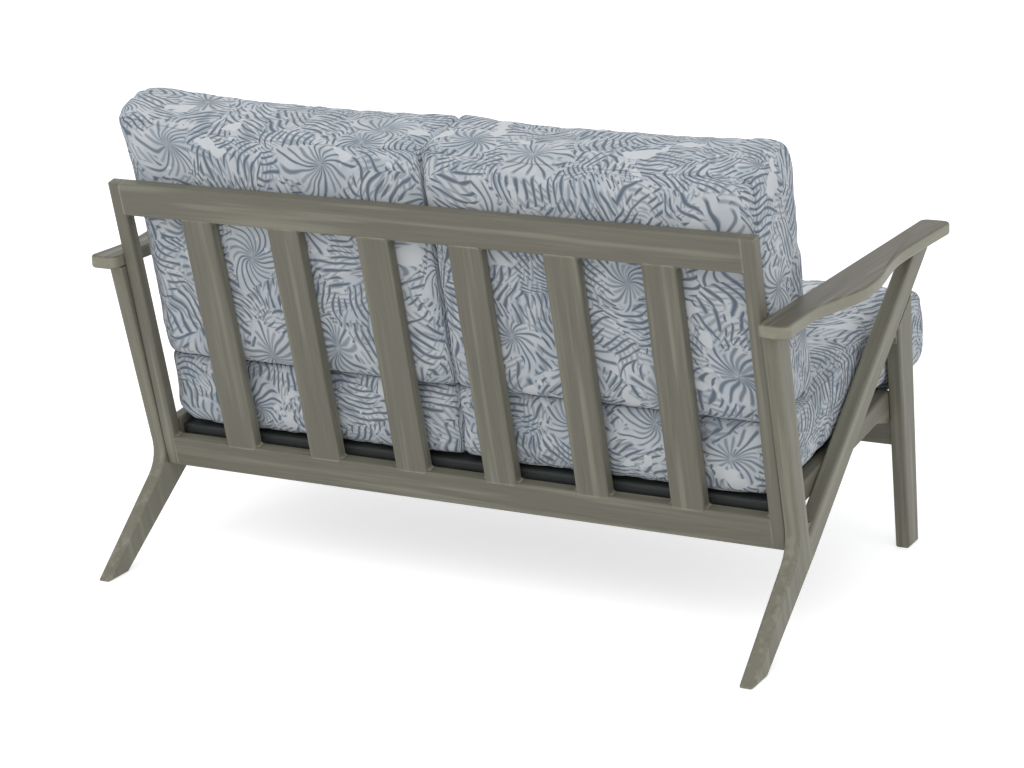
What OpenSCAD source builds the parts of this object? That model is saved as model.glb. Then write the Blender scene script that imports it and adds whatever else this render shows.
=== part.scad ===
// Two-seat sofa with a slatted wooden back, boomerang rear legs, diagonal arm braces
// and four loose cushions. The seat faces -Y, +Z is up and +X is the sitter's left.
// Lengths are in millimetres. Side profiles are drawn in the Y-Z plane.

/* [Frame] */
// Width over the outer faces of the legs
frame_w = 1340; // [1100:5:2200]
// Thickness of the boards in the two side frames
leg_t = 28; // [20:1:40]
// Height of the underside of the arms
arm_under_z = 583; // [520:1:660]
// Radius along the softened edges of the boards
arris_r = 5; // [2:0.5:7]
// Gap left at each glued or bolted joint
joint_gap = 0.15; // [0.1:0.05:0.3]

/* [Rear legs] */
// Distance of the kink's corner behind the middle of the side frame
knee_y = 186; // [150:1:220]
// Height of the kink's corner
knee_z = 179; // [150:1:220]
// Radius of the hollow at the kink
knee_r = 60; // [20:1:90]
// Backward run of the lower leg for each mm that it falls
lower_splay = 1.18; // [0.8:0.01:1.4]
// Backward run of the upper leg's rear edge for each mm that it rises
upper_lean = 0.25; // [0.1:0.01:0.4]
// Backward run of the upper leg's front edge for each mm that it rises
upper_front_lean = 0.22; // [0.1:0.01:0.35]
// Depth of the upper leg at the height of the kink
upper_leg_d = 43; // [35:1:60]
// Depth of the rear foot on the floor
rear_foot_d = 62; // [50:1:80]

/* [Diagonal braces] */
// Distance of the brace's front corner at the arm ahead of the middle
brace_front = 463; // [400:1:500]
// Angle of the brace above level
brace_angle = 36.8; // [33:0.1:40]
// Width of the brace across its run
brace_w = 51; // [40:1:60]
// Height at which the brace's lower edge meets the rear leg
brace_foot_z = 143; // [125:1:160]
// Radius in the corner between brace and upper leg
crotch_r = 22; // [8:1:40]

/* [Front legs] */
// Distance of the front foot's front edge ahead of the middle
front_foot = 395; // [350:1:420]
// Depth of the front foot on the floor
front_foot_d = 52; // [40:1:70]
// Backward run of the front edge for each mm that it rises
front_edge_lean = 0.092; // [0:0.002:0.15]
// Backward run of the rear edge for each mm that it rises
rear_edge_lean = 0.13; // [0.1:0.002:0.2]
// Radius in the corners between front leg and brace
front_leg_r = 20; // [8:1:40]

/* [Arms] */
// Thickness of the arms
arm_t = 24; // [18:1:36]
// Width of the arms at their narrow stretches
arm_w = 54; // [45:1:90]
// Outward swell near the middle of the arms
arm_swell = 31; // [0:1:50]
// Outward flare at both ends of the arms
arm_flare = 6; // [0:1:15]
// Distance of the widest point behind the middle
swell_y = 5; // [-60:1:60]
// Length of the swell behind its widest point
swell_rear = 195; // [120:5:220]
// Length of the swell ahead of its widest point
swell_front = 250; // [150:5:300]
// Overhang of the arm behind the rear leg
arm_rear_over = 20; // [5:1:40]
// Overhang of the arm ahead of the brace
arm_front_over = 14; // [5:1:40]
// Radius of the arm's corners in plan
arm_corner_r = 16; // [9:1:25]

/* [Back panel] */
// Lean of the back panel behind upright, in degrees
recline = 12.25; // [5:0.25:20]
// Distance of the panel's lower rear edge behind the middle
panel_y = 184; // [170:1:195]
// Height of the panel's lower rear edge
panel_z = 169; // [150:1:190]
// Length of the panel up its slope
panel_len = 593; // [480:1:700]
// Thickness of the panel's boards
panel_t = 27; // [18:1:32]
// Width of the two stiles
stile_w = 27; // [20:1:60]
// Height of the top rail
top_rail_h = 64; // [50:1:90]
// Height of the bottom rail
bottom_rail_h = 61; // [50:1:90]
// Number of slats
slat_n = 6; // [6:6]
// Width of each slat
slat_w = 64; // [40:1:80]
// Radius in the corners of the openings
opening_r = 7; // [5:1:12]

/* [Seat frame] */
// Backward fall of the seat, in degrees
rake = 6.5; // [3:0.25:9]
// Height at which the seat's surface meets the back panel
seat_rear_z = 247; // [235:1:260]
// Distance from the back panel to the front rail's rear face
front_rail_in = 490; // [470:1:500]
// Thickness of the front rail
front_rail_t = 25; // [18:1:30]
// Height of the front rail
front_rail_h = 94; // [60:1:110]
// Height of the side rails
side_rail_h = 40; // [30:1:60]
// Rise of the side rails above the seat's surface
side_rail_rise = 15; // [5:1:20]
// Thickness of the side rails
side_rail_t = 27.5; // [18:0.5:30]
// Depth of the haunch under the front end of each side rail
haunch_h = 21; // [5:1:35]
// Length of the haunch
haunch_len = 66; // [40:1:100]
// Radius where the haunch meets its level stretch
haunch_r = 8; // [6:1:12]
// Thickness of the cross battens
batten_t = 20; // [15:1:30]
// Depth of the cross battens, front to back
batten_d = 45; // [30:1:70]
// Distance from the back panel to the rear batten
batten_back = 12; // [8:1:20]
// Height of the centre bearer
bearer_h = 30; // [20:1:40]
// Thickness of the centre bearer
bearer_t = 28; // [18:1:40]
// Thickness of the black sling
sling_t = 3; // [1:0.5:5]
// Turn-down of the sling at its front and rear edges
sling_turn = 20; // [10:1:30]

/* [Cushions] */
// Thickness of the seat cushions at their crown
seat_thick = 157; // [100:1:180]
// Depth of the seat cushions, front to back
seat_depth = 708; // [600:4:720]
// Clearance between each seat cushion and the side frame
seat_side_gap = 4; // [4:1:20]
// Thickness of the back cushions at their crown
back_thick = 190; // [100:1:200]
// Height of the back cushions up their slope
back_high = 467; // [400:1:560]
// Clearance between each back cushion and the side frame
back_side_gap = 12; // [4:1:40]
// Sideways set of the back cushion pair, to the sitter's right
back_aside = 9; // [0:0.5:9]
// Rise of the back cushions above the seat cushions' rear edge
back_rise = 0.5; // [0.5:0.5:20]
// Fall of the cushions' open faces from their crown to their edges
crown = 5; // [2:1:10]
// Gap between the two cushions of a pair
split_gap = 1; // [0.6:0.2:10]
// Gap between a cushion and what it rests on
rest_gap = 0.3; // [0.3:0.1:1]
// Inward lean of the seat cushions' outer sides, from mid-height down to the side rails
seat_tuck = 28; // [24:1:40]
// Inward draw of the cushions' sides between the corners
side_draw = 4; // [0:1:12]

/* [Hidden] */

paint = [0.46, 0.45, 0.40];
cloth = [0.72, 0.75, 0.80];
black = [0.13, 0.15, 0.15];

// Steps along the quarter round of an arris and along a rounded corner
arris_steps = 3;
corner_steps = 5;
// Length that a blank runs past the plane that cuts it
over = 12;
// A length beyond every part of the sofa
far = 3000;
// Depth by which a fillet sinks into the board that carries it
fuse = 0.5;

half_w = frame_w / 2;
inner_x = half_w - leg_t;

// Side frame
tan_b = tan(brace_angle);
rear_foot_y = knee_y + lower_splay * knee_z;
function brace_low_y(z) = -brace_front + (arm_under_z - z) / tan_b;
function brace_high_y(z) = brace_low_y(z) + brace_w / sin(brace_angle);
function upper_rear_y(z) = knee_y + upper_lean * (z - knee_z);
function upper_front_y(z) = knee_y - upper_leg_d + upper_front_lean * (z - knee_z);
function front_leg_front_y(z) = -front_foot + front_edge_lean * z;
function front_leg_rear_y(z) = -front_foot + front_foot_d + rear_edge_lean * z;
brace_foot = [brace_low_y(brace_foot_z), brace_foot_z];
crotch_z = (brace_high_y(0) - upper_front_y(0)) / (upper_front_lean + 1 / tan_b);
crotch = [upper_front_y(crotch_z), crotch_z];
front_top_z = (brace_low_y(0) - front_leg_front_y(0)) / (front_edge_lean + 1 / tan_b);
rear_top_z = (brace_low_y(0) - front_leg_rear_y(0)) / (rear_edge_lean + 1 / tan_b);

// Arms
arm_back_y = upper_rear_y(arm_under_z) + arm_rear_over;
arm_front_y = -brace_front - arm_front_over;

// Back panel, in its own frame: X across, Y out of the rear face, Z up the slope
stile_out = inner_x - joint_gap;
stile_in = stile_out - stile_w;
slat_pitch = (2 * stile_in + slat_w) / (slat_n + 1);

// Seat, in its own frame: Y back along the seat from the panel's front face, Z out of it
seat_lean = recline - rake;
front_face_y = panel_y - panel_t / cos(recline);
seat_rear_y = front_face_y + (seat_rear_z - panel_z - panel_t * sin(recline)) * tan(recline);
deck_z = -rest_gap - sling_t - joint_gap;
side_rail_out = inner_x - joint_gap;
side_rail_in = side_rail_out - side_rail_t;
side_rail_low = side_rail_rise - side_rail_h;
function panel_face(z) = z * tan(seat_lean) - joint_gap;

// Cushions
cushion_rings = 16;
cushion_sides = 56;
edge_power = 0.25;
plan_power = 0.11;
seat_side = inner_x - seat_side_gap;
back_side = inner_x - back_side_gap;
seat_cushion_w = seat_side - split_gap / 2;
back_cushion_w = back_side - split_gap / 2;

function unit(v) = v / norm(v);
function bend(v, p) = sign(v) * pow(abs(v), p);

// Points of the arc of radius r that rounds corner b between a and c
function corner_arc(a, b, c, r) =
    let (u = unit(a - b), v = unit(c - b), half = acos(u * v) / 2,
         centre = b + unit(u + v) * r / sin(half),
         p = b + u * r / tan(half) - centre, q = b + v * r / tan(half) - centre,
         a0 = atan2(p.y, p.x), turn = atan2(p.x * q.y - p.y * q.x, p * q))
    [for (i = [0:corner_steps])
        centre + r * [cos(a0 + turn * i / corner_steps), sin(a0 + turn * i / corner_steps)]];

// Outline through the corners given as [x, y, radius], counter-clockwise
function rounded(corners) =
    let (n = len(corners), at = [for (c = corners) [c.x, c.y]])
    [for (i = [0:n - 1]) each corners[i].z > 0
        ? corner_arc(at[(i + n - 1) % n], at[i], at[(i + 1) % n], corners[i].z)
        : [at[i]]];

// The outline moved inwards by d
function inset(pts, d) =
    let (n = len(pts))
    [for (i = [0:n - 1])
        let (e = unit(pts[i] - pts[(i + n - 1) % n]), f = unit(pts[(i + 1) % n] - pts[i]),
             m = [-e.y, e.x], k = [-f.y, f.x])
        pts[i] + d * (m + k) / (1 + m * k)];

// Closed solid through rings of points, each counter-clockwise, from the lowest up. Both
// ends are fans of triangles, so a ring starts at a corner that the whole end can be seen from.
module ring_solid(rings) {
    n = len(rings[0]);
    last = (len(rings) - 1) * n;
    polyhedron(
        points = [for (ring = rings) each ring],
        faces = [
            for (i = [1:n - 2]) each [[0, i, i + 1], [last, last + i + 1, last + i]],
            for (k = [0:len(rings) - 2], i = [0:n - 1])
                let (a = k * n + i, b = k * n + (i + 1) % n) each [[a, a + n, b], [b, a + n, b + n]]]);
}

// Flat board of thickness t with softened edges all round
module board(pts, t) {
    lower = [for (k = [0:arris_steps])
        let (a = 90 * k / arris_steps) [arris_r * (1 - cos(a)), arris_r * (1 - sin(a))]];
    upper = [for (k = [arris_steps:-1:0]) [t - lower[k].x, lower[k].y]];
    ring_solid([for (step = concat(lower, upper)) [for (p = inset(pts, step.y)) [p.x, p.y, step.x]]]);
}

// Cushion centred on its middle, w by d in plan and h thick: its upper face is crowned, and
// its lower face rests on something and is flat
function cushion_ring(w, d, h, tilt) =
    let (reach = bend(cos(tilt), edge_power),
         up = bend(sin(tilt), edge_power) * (h / 2 - (tilt > 0 ? crown * reach * reach : 0)))
    [for (j = [0:cushion_sides - 1])
        let (turn = 360 * (j + 0.5) / cushion_sides,
             px = bend(cos(turn), plan_power), py = bend(sin(turn), plan_power))
        [reach * px * (w / 2 - side_draw * (1 - py * py)),
         reach * py * (d / 2 - side_draw * (1 - px * px)), up]];

function cushion_tilt(i) = -90 + 180 * i / cushion_rings;

// Each point is raised along the depth by skew times its height, less towards the far end,
// and the lower half of the +X side leans in by tuck
module cushion(w, d, h, skew = 0, tuck = 0) {
    n = cushion_sides;
    rows = cushion_rings - 1;
    flat_points = [
        [0, 0, -h / 2],
        for (i = [1:rows]) each cushion_ring(w, d, h, cushion_tilt(i)),
        [0, 0, h / 2]];
    points = [for (p = flat_points)
        let (low = 2 * min(p.z, 0) / h)
        [p.x - (p.x > 0 ? tuck * low * low * 2 * p.x / w : 0),
         p.y + skew * (p.z + h / 2) * (0.5 - p.y / d), p.z]];
    top = len(points) - 1;
    polyhedron(points = points, faces = [
        for (j = [0:n - 1]) [0, 1 + j, 1 + (j + 1) % n],
        for (i = [0:rows - 2], j = [0:n - 1])
            let (a = 1 + i * n + j, b = 1 + i * n + (j + 1) % n) each [[a, a + n, b], [b, a + n, b + n]],
        for (j = [0:n - 1])
            [top, 1 + (rows - 1) * n + (j + 1) % n, 1 + (rows - 1) * n + j]]);
}

// The rearmost point is a rear foot and the foremost is the front of a seat cushion
seat_front_y = min([
    for (i = [1:cushion_rings - 1], p = cushion_ring(seat_cushion_w, seat_depth, seat_thick, cushion_tilt(i)))
        seat_rear_y + (p.y - seat_depth / 2 - rest_gap) * cos(rake) + (p.z + seat_thick / 2) * sin(rake)]);
middle_y = (seat_front_y + rear_foot_y) / 2;

module placed() {
    translate([0, -middle_y, 0]) children();
}

module sided(side) {
    mirror([side < 0 ? 1 : 0, 0, 0]) children();
}

// Turns a plan outline into a side profile that stands in the Y-Z plane
module profile_up() {
    rotate([90, 0, 90]) children();
}

module on_panel() {
    translate([0, panel_y, panel_z]) rotate([-recline, 0, 0]) children();
}

module on_seat() {
    translate([0, seat_rear_y, seat_rear_z]) rotate([-rake, 0, 0]) children();
}

// Board of a side frame in its Y-Z place, cut off square to its faces by a region
module side_board(corners, region) {
    intersection() {
        board(rounded(corners), leg_t);
        translate([0, 0, -1]) linear_extrude(leg_t + 2) polygon(region);
    }
}

// Fillet in the corner b between a and c, sunk a little into the board that carries it
module corner_fill(a, b, c, r, along, into) {
    translate([0, 0, arris_r]) linear_extrude(leg_t - 2 * arris_r)
        translate(2 * fuse * along + fuse * into) polygon(concat([b], corner_arc(a, b, c, r)));
}

module side_placed(side) {
    placed() sided(side) translate([inner_x, 0, 0]) profile_up() children();
}

module rear_leg(side) {
    top = arm_under_z + over;
    color(paint) side_placed(side) side_board(
        [[crotch.x, crotch.y, 0], [crotch.x - 2 * over, crotch.y, 0],
            [brace_foot.x - 2 * over, brace_foot.y, 0], [brace_foot.x, brace_foot.y, 0],
            [rear_foot_y - rear_foot_d, 0, 0], [rear_foot_y, 0, 0], [knee_y, knee_z, knee_r],
            [upper_rear_y(top), top, 0], [upper_front_y(top), top, 0]],
        [[brace_foot.x, -over], [far, -over], [far, arm_under_z], [crotch.x, arm_under_z],
            crotch, brace_foot]);
}

module brace(side) {
    top = arm_under_z + over;
    run = [cos(brace_angle), -sin(brace_angle)];
    out = [sin(brace_angle), cos(brace_angle)];
    low_end = brace_foot + 2 * over * run;
    high_end = crotch + 2 * over * run;
    front_top = [front_leg_front_y(front_top_z), front_top_z];
    rear_top = [front_leg_rear_y(rear_top_z), rear_top_z];
    joint = [joint_gap, 0];
    color(paint) side_placed(side) {
        side_board(
            [[low_end.x, low_end.y, 0], [high_end.x, high_end.y, 0],
                [brace_high_y(top), top, 0], [brace_low_y(top), top, 0]],
            [brace_foot + (brace_foot - crotch) - joint, crotch - joint, 2 * crotch - brace_foot - joint,
                [crotch.x, arm_under_z], [-far, arm_under_z], [-far, 0]]);
        corner_fill(crotch - run, crotch, [upper_front_y(crotch_z + 1), crotch_z + 1], crotch_r, -run, -out);
        corner_fill(front_top - run, front_top, [front_leg_front_y(0), 0], front_leg_r, -run, out);
        corner_fill(rear_top + run, rear_top, [front_leg_rear_y(0), 0], front_leg_r, run, out);
    }
}

module front_leg(side) {
    top = front_top_z + 2 * over;
    gap = joint_gap / cos(brace_angle);
    reach = 2 * frame_w;
    color(paint) side_placed(side) side_board(
        [[-front_foot, 0, 0], [-front_foot + front_foot_d, 0, 0],
            [front_leg_rear_y(top), top, 0], [front_leg_front_y(top), top, 0]],
        [[-reach, -over], [0, -over], [0, brace_foot.y + brace_foot.x * tan_b - gap],
            [-reach, brace_foot.y + (brace_foot.x + reach) * tan_b - gap]]);
}

// Reach of the arm's outer edge beyond the frame's inner face
function arm_reach(y) =
    let (run = y > swell_y ? (y - swell_y) / swell_rear : (swell_y - y) / swell_front,
         bell = run < 1 ? (1 + cos(180 * run)) / 2 : 0,
         past = max(0, run - 1) * (y > swell_y ? swell_rear : swell_front),
         end = y > swell_y ? arm_back_y - swell_y - swell_rear : swell_y - swell_front - arm_front_y)
    arm_w + arm_swell * bell + arm_flare * pow(past / max(end, 1), 2);

module arm(side) {
    n = 30;
    edge = [for (i = [1:n - 1])
        let (y = arm_front_y + (arm_back_y - arm_front_y) * i / n) [arm_reach(y), y, 0]];
    color(paint) placed() sided(side) translate([inner_x, 0, arm_under_z + joint_gap])
        board(rounded(concat(
            [[0, arm_front_y, arm_corner_r], [arm_reach(arm_front_y), arm_front_y, arm_corner_r]],
            edge,
            [[arm_reach(arm_back_y), arm_back_y, arm_corner_r], [0, arm_back_y, arm_corner_r]])), arm_t);
}

// Section of a bar from one corner to the other with softened edges, grown all round
module bar_section(low, high, grow) {
    r = arris_r + grow;
    polygon(rounded([
        [low.x - grow, low.y - grow, r], [high.x + grow, low.y - grow, r],
        [high.x + grow, high.y + grow, r], [low.x - grow, high.y + grow, r]]));
}

// Bar across the back panel between two heights on its slope
module panel_bar(low, high, half, grow = 0) {
    translate([-half, 0, 0]) profile_up() linear_extrude(2 * half)
        bar_section([-panel_t, low], [0, high], grow);
}

module stile_bar(grow = 0) {
    linear_extrude(panel_len + 2 * grow) bar_section([stile_in, -panel_t], [stile_out, 0], grow);
}

// Fillet in a corner of an opening at [x, z], reaching out in the directions given
module opening_fill(x, z, dx, dz) {
    translate([0, -arris_r, 0]) rotate([90, 0, 0]) linear_extrude(panel_t - 2 * arris_r)
        translate([-dx * fuse, dz * 2 * fuse])
            polygon(concat([[x, z]], corner_arc([x + dx, z], [x, z], [x, z + dz], opening_r)));
}

// Rail of the back panel, its ends coped over the stiles' softened edges
module panel_rail(low, high) {
    color(paint) placed() on_panel() difference() {
        panel_bar(low, high, stile_in + arris_r);
        for (side = [1, -1]) sided(side) stile_bar(joint_gap);
    }
}

module back_bottom_rail() {
    panel_rail(0, bottom_rail_h);
}

module back_top_rail() {
    panel_rail(panel_len - top_rail_h, panel_len);
}

module back_stile(side) {
    color(paint) placed() on_panel() sided(side) {
        intersection() {
            stile_bar();
            panel_bar(0, panel_len, far);
        }
        opening_fill(stile_in, bottom_rail_h, -1, 1);
        opening_fill(stile_in, panel_len - top_rail_h, -1, -1);
    }
}

// Slat with its ends coped over the softened edges of both rails
module back_slat(i) {
    x = ((slat_n - 1) / 2 - i) * slat_pitch;
    low = bottom_rail_h;
    high = panel_len - top_rail_h;
    color(paint) placed() on_panel() {
        difference() {
            translate([0, 0, low - arris_r]) linear_extrude(high - low + 2 * arris_r)
                bar_section([x - slat_w / 2, -panel_t], [x + slat_w / 2, 0], 0);
            panel_bar(0, low, far, joint_gap);
            panel_bar(high, panel_len, far, joint_gap);
        }
        for (side = [1, -1]) {
            opening_fill(x + side * slat_w / 2, low, side, 1);
            opening_fill(x + side * slat_w / 2, high, side, -1);
        }
    }
}

// Side rail with its haunch, between the front rail and a stile
module side_rail(side) {
    front = -front_rail_in + joint_gap;
    low = side_rail_low;
    shape = [
        [front - over, side_rail_rise, 0], [front - over, low - haunch_h, 0],
        [front + haunch_len / 4, low - haunch_h, haunch_r], [front + haunch_len, low, haunch_len],
        [over, low, 0], [over, side_rail_rise, 0]];
    cut = [
        [front, low - haunch_h - 1], [panel_face(low - haunch_h - 1), low - haunch_h - 1],
        [panel_face(side_rail_rise + 1), side_rail_rise + 1], [front, side_rail_rise + 1]];
    color(paint) placed() on_seat() sided(side) translate([side_rail_in, 0, 0]) profile_up()
        intersection() {
            board(rounded(shape), side_rail_t);
            translate([0, 0, -1]) linear_extrude(side_rail_t + 2) polygon(cut);
        }
}

// Bar across the sofa, of section d by h, with softened long edges and square ends
module cross_bar(y, z, d, h, half) {
    color(paint) placed() on_seat() translate([-half, 0, 0]) profile_up()
        linear_extrude(2 * half) bar_section([y, z], [y + d, z + h], 0);
}

module front_rail() {
    cross_bar(-front_rail_in - front_rail_t, deck_z - front_rail_h, front_rail_t, front_rail_h,
        inner_x - joint_gap);
}

module batten(y) {
    cross_bar(y, deck_z - batten_t, batten_d, batten_t, side_rail_in - joint_gap);
}

rear_batten_y = -batten_back - batten_d;
batten_pitch = (front_rail_in + rear_batten_y) / 3;

module rear_batten() {
    batten(rear_batten_y);
}

module middle_batten(i) {
    batten(rear_batten_y - i * batten_pitch);
}

module centre_bearer() {
    high = deck_z - batten_t - joint_gap;
    low = high - bearer_h;
    front = -front_rail_in + joint_gap;
    color(paint) placed() on_seat() translate([-bearer_t / 2, 0, 0]) profile_up()
        linear_extrude(bearer_t)
            polygon([[front, low], [panel_face(low), low], [panel_face(high), high], [front, high]]);
}

// Stretched cloth over the front rail and the battens, turned down at both ends
module seat_sling() {
    top = -rest_gap;
    front = -front_rail_in - front_rail_t - joint_gap;
    rear = -batten_back + joint_gap;
    half = side_rail_in - joint_gap;
    color(black) placed() on_seat() translate([-half, 0, 0]) profile_up() linear_extrude(2 * half)
        polygon([
            [front - sling_t, top], [front - sling_t, top - sling_turn - sling_t],
            [front, top - sling_turn - sling_t], [front, top - sling_t],
            [rear, top - sling_t], [rear, top - sling_turn - sling_t],
            [rear + sling_t, top - sling_turn - sling_t], [rear + sling_t, top]]);
}

module seat_cushion(side) {
    color(cloth) placed() on_seat() sided(side)
        translate([(split_gap + seat_cushion_w) / 2, -seat_depth / 2 - rest_gap, seat_thick / 2])
            cushion(seat_cushion_w, seat_depth, seat_thick, tuck = seat_tuck);
}

// Distance up the panel from its lower edge to the seat cushions' top at the panel's face
back_low = (seat_rear_z - panel_z - panel_t * sin(recline)) / cos(recline)
    + seat_thick / cos(seat_lean) - crown + back_rise;

// The lower end of a back cushion is skewed to lie along the seat cushions' top
module back_cushion(side) {
    color(cloth) placed() on_panel() translate([-back_aside, 0, 0]) sided(side) rotate([90, 0, 0])
        translate([(split_gap + back_cushion_w) / 2, back_low + back_high / 2,
            panel_t + rest_gap + back_thick / 2])
            cushion(back_cushion_w, back_high, back_thick, -tan(seat_lean));
}

rear_leg(1);  // rear_leg_left
rear_leg(-1);  // rear_leg_right
front_leg(1);  // front_leg_left
front_leg(-1);  // front_leg_right
brace(1);  // brace_left
brace(-1);  // brace_right
arm(1);  // arm_left
arm(-1);  // arm_right
side_rail(1);  // side_rail_left
side_rail(-1);  // side_rail_right
back_top_rail();
back_bottom_rail();
back_stile(1);  // back_stile_left
back_stile(-1);  // back_stile_right
back_slat(0);  // back_slat_1
back_slat(1);  // back_slat_2
back_slat(2);  // back_slat_3
back_slat(3);  // back_slat_4
back_slat(4);  // back_slat_5
back_slat(5);  // back_slat_6
front_rail();
rear_batten();
middle_batten(1);  // middle_batten_1
middle_batten(2);  // middle_batten_2
centre_bearer();
seat_sling();
seat_cushion(1);  // seat_cushion_left
seat_cushion(-1);  // seat_cushion_right
back_cushion(1);  // back_cushion_left
back_cushion(-1);  // back_cushion_right
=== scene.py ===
"""Finishes, cloth work, light and camera for a two-seat sofa with a slatted back."""

import math

import bpy
import numpy as np
from mathutils import Matrix, Vector


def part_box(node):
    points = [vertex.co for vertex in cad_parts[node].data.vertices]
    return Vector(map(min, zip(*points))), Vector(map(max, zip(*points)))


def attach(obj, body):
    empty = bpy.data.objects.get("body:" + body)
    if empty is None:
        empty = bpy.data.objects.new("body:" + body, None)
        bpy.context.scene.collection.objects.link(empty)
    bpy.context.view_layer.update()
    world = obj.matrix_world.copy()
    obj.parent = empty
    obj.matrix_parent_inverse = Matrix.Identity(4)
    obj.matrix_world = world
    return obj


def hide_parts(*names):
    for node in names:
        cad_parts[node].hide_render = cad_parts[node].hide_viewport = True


bl_info = {
    "name": "Slatted Two-Seat Sofa",
    "version": (1, 0, 0),
    "blender": (4, 5, 0),
    "location": "3D View > Sidebar > Sofa",
    "description": "Paints the frame and makes the sling and the four loose cushions",
    "category": "Object",
}

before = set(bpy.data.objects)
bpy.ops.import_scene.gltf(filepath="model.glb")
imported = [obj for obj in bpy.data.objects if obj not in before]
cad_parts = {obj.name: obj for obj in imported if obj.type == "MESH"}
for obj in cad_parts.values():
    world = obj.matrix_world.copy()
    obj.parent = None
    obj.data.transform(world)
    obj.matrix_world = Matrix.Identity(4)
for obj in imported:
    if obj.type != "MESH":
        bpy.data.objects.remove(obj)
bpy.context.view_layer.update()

# Slopes of the seat and the back panel, and the sizes and gaps shared with the boards, in metres
RAKE = math.radians(6.5)
RECLINE = math.radians(12.25)
PANEL_THICK = 0.027
REST_GAP = 0.0003
BACK_RISE = 0.0005

# Rear end of the seat's surface and lower rear edge of the back panel, from the side frame's middle,
# which lies ahead of the rear feet
SEAT_REAR_Y, SEAT_REAR_Z = 0.17206, 0.247
PANEL_REAR_Y, PANEL_LOW_Z = 0.184, 0.169
FOOT_BEHIND_MIDDLE = 0.39722
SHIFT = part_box("rear_leg_left")[1].y - FOOT_BEHIND_MIDDLE
SEAT_ORIGIN = Vector((0, SEAT_REAR_Y + SHIFT, SEAT_REAR_Z))
PANEL_ORIGIN = Vector((0, PANEL_REAR_Y + SHIFT, PANEL_LOW_Z))
SEAT_FRAME = Matrix.Translation(SEAT_ORIGIN) @ Matrix.Rotation(-RAKE, 4, "X")
PANEL_FRAME = Matrix.Translation(PANEL_ORIGIN) @ Matrix.Rotation(-RECLINE, 4, "X")

# Boards grouped by the way their grain runs
ACROSS = [
    "back_top_rail", "back_bottom_rail", "front_rail", "rear_batten",
    "middle_batten_1", "middle_batten_2",
]
UP_PANEL = ["back_stile_left", "back_stile_right"] + ["back_slat_%d" % i for i in range(1, 7)]
REAR_LEGS = ["rear_leg_left", "rear_leg_right"]
FRONT_LEGS = ["front_leg_left", "front_leg_right"]
BRACES = ["brace_left", "brace_right"]
ARMS = ["arm_left", "arm_right"]
ALONG_SEAT = ["side_rail_left", "side_rail_right", "centre_bearer"]


def tone(red, green, blue):
    """Linear colour with an alpha of 1 from a colour as it is seen, 0 to 255."""
    seen = [c / 255 for c in (red, green, blue)]
    return tuple(c / 12.92 if c <= 0.04045 else ((c + 0.055) / 1.055) ** 2.4 for c in seen) + (1.0,)


# Settings


class SofaTimberSettings(bpy.types.PropertyGroup):
    """Paints of the boards and the depth of their grain"""

    paint: bpy.props.FloatVectorProperty(
        name="Paint", description="Colour of most of the painted boards", subtype="COLOR",
        size=4, min=0, max=1, default=tone(121, 118, 105))
    # Paler paint for streaks and rubbed, worn edges, and also for painted highlights along the eased edges
    # and painted side light on the arms
    pale_and_highlight_paint: bpy.props.FloatVectorProperty(
        name="Pale And Highlight Paint", description="Thinner, paler paint along the eased edges", subtype="COLOR",
        size=4, min=0, max=1, default=tone(167, 165, 146))
    # Painted light: a paler copy of the paint for the rear legs and the braces, standing in for the light
    # on them
    lit_frame_paint: bpy.props.FloatVectorProperty(
        name="Lit Side Frame Paint", description="Lighter paint on the rear legs and the braces",
        subtype="COLOR", size=4, min=0, max=1, default=tone(132, 129, 114))
    # Painted shade: a darker, browner copy of the paint for the arms, whose tops lie in shade; their
    # upright faces get the painted side light
    shaded_arm_paint: bpy.props.FloatVectorProperty(
        name="Shaded Arm Paint", description="Browner paint on top of the arms", subtype="COLOR",
        size=4, min=0, max=1, default=tone(98, 92, 78))
    pore_paint: bpy.props.FloatVectorProperty(
        name="Pore Paint", description="Darker paint that sits in the pores of the grain", subtype="COLOR",
        size=4, min=0, max=1, default=tone(98, 94, 80))
    grain_depth: bpy.props.FloatProperty(
        name="Grain Depth", description="Depth of the grain under the paint", subtype="DISTANCE",
        min=0, max=0.001, default=0.00012)


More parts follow.
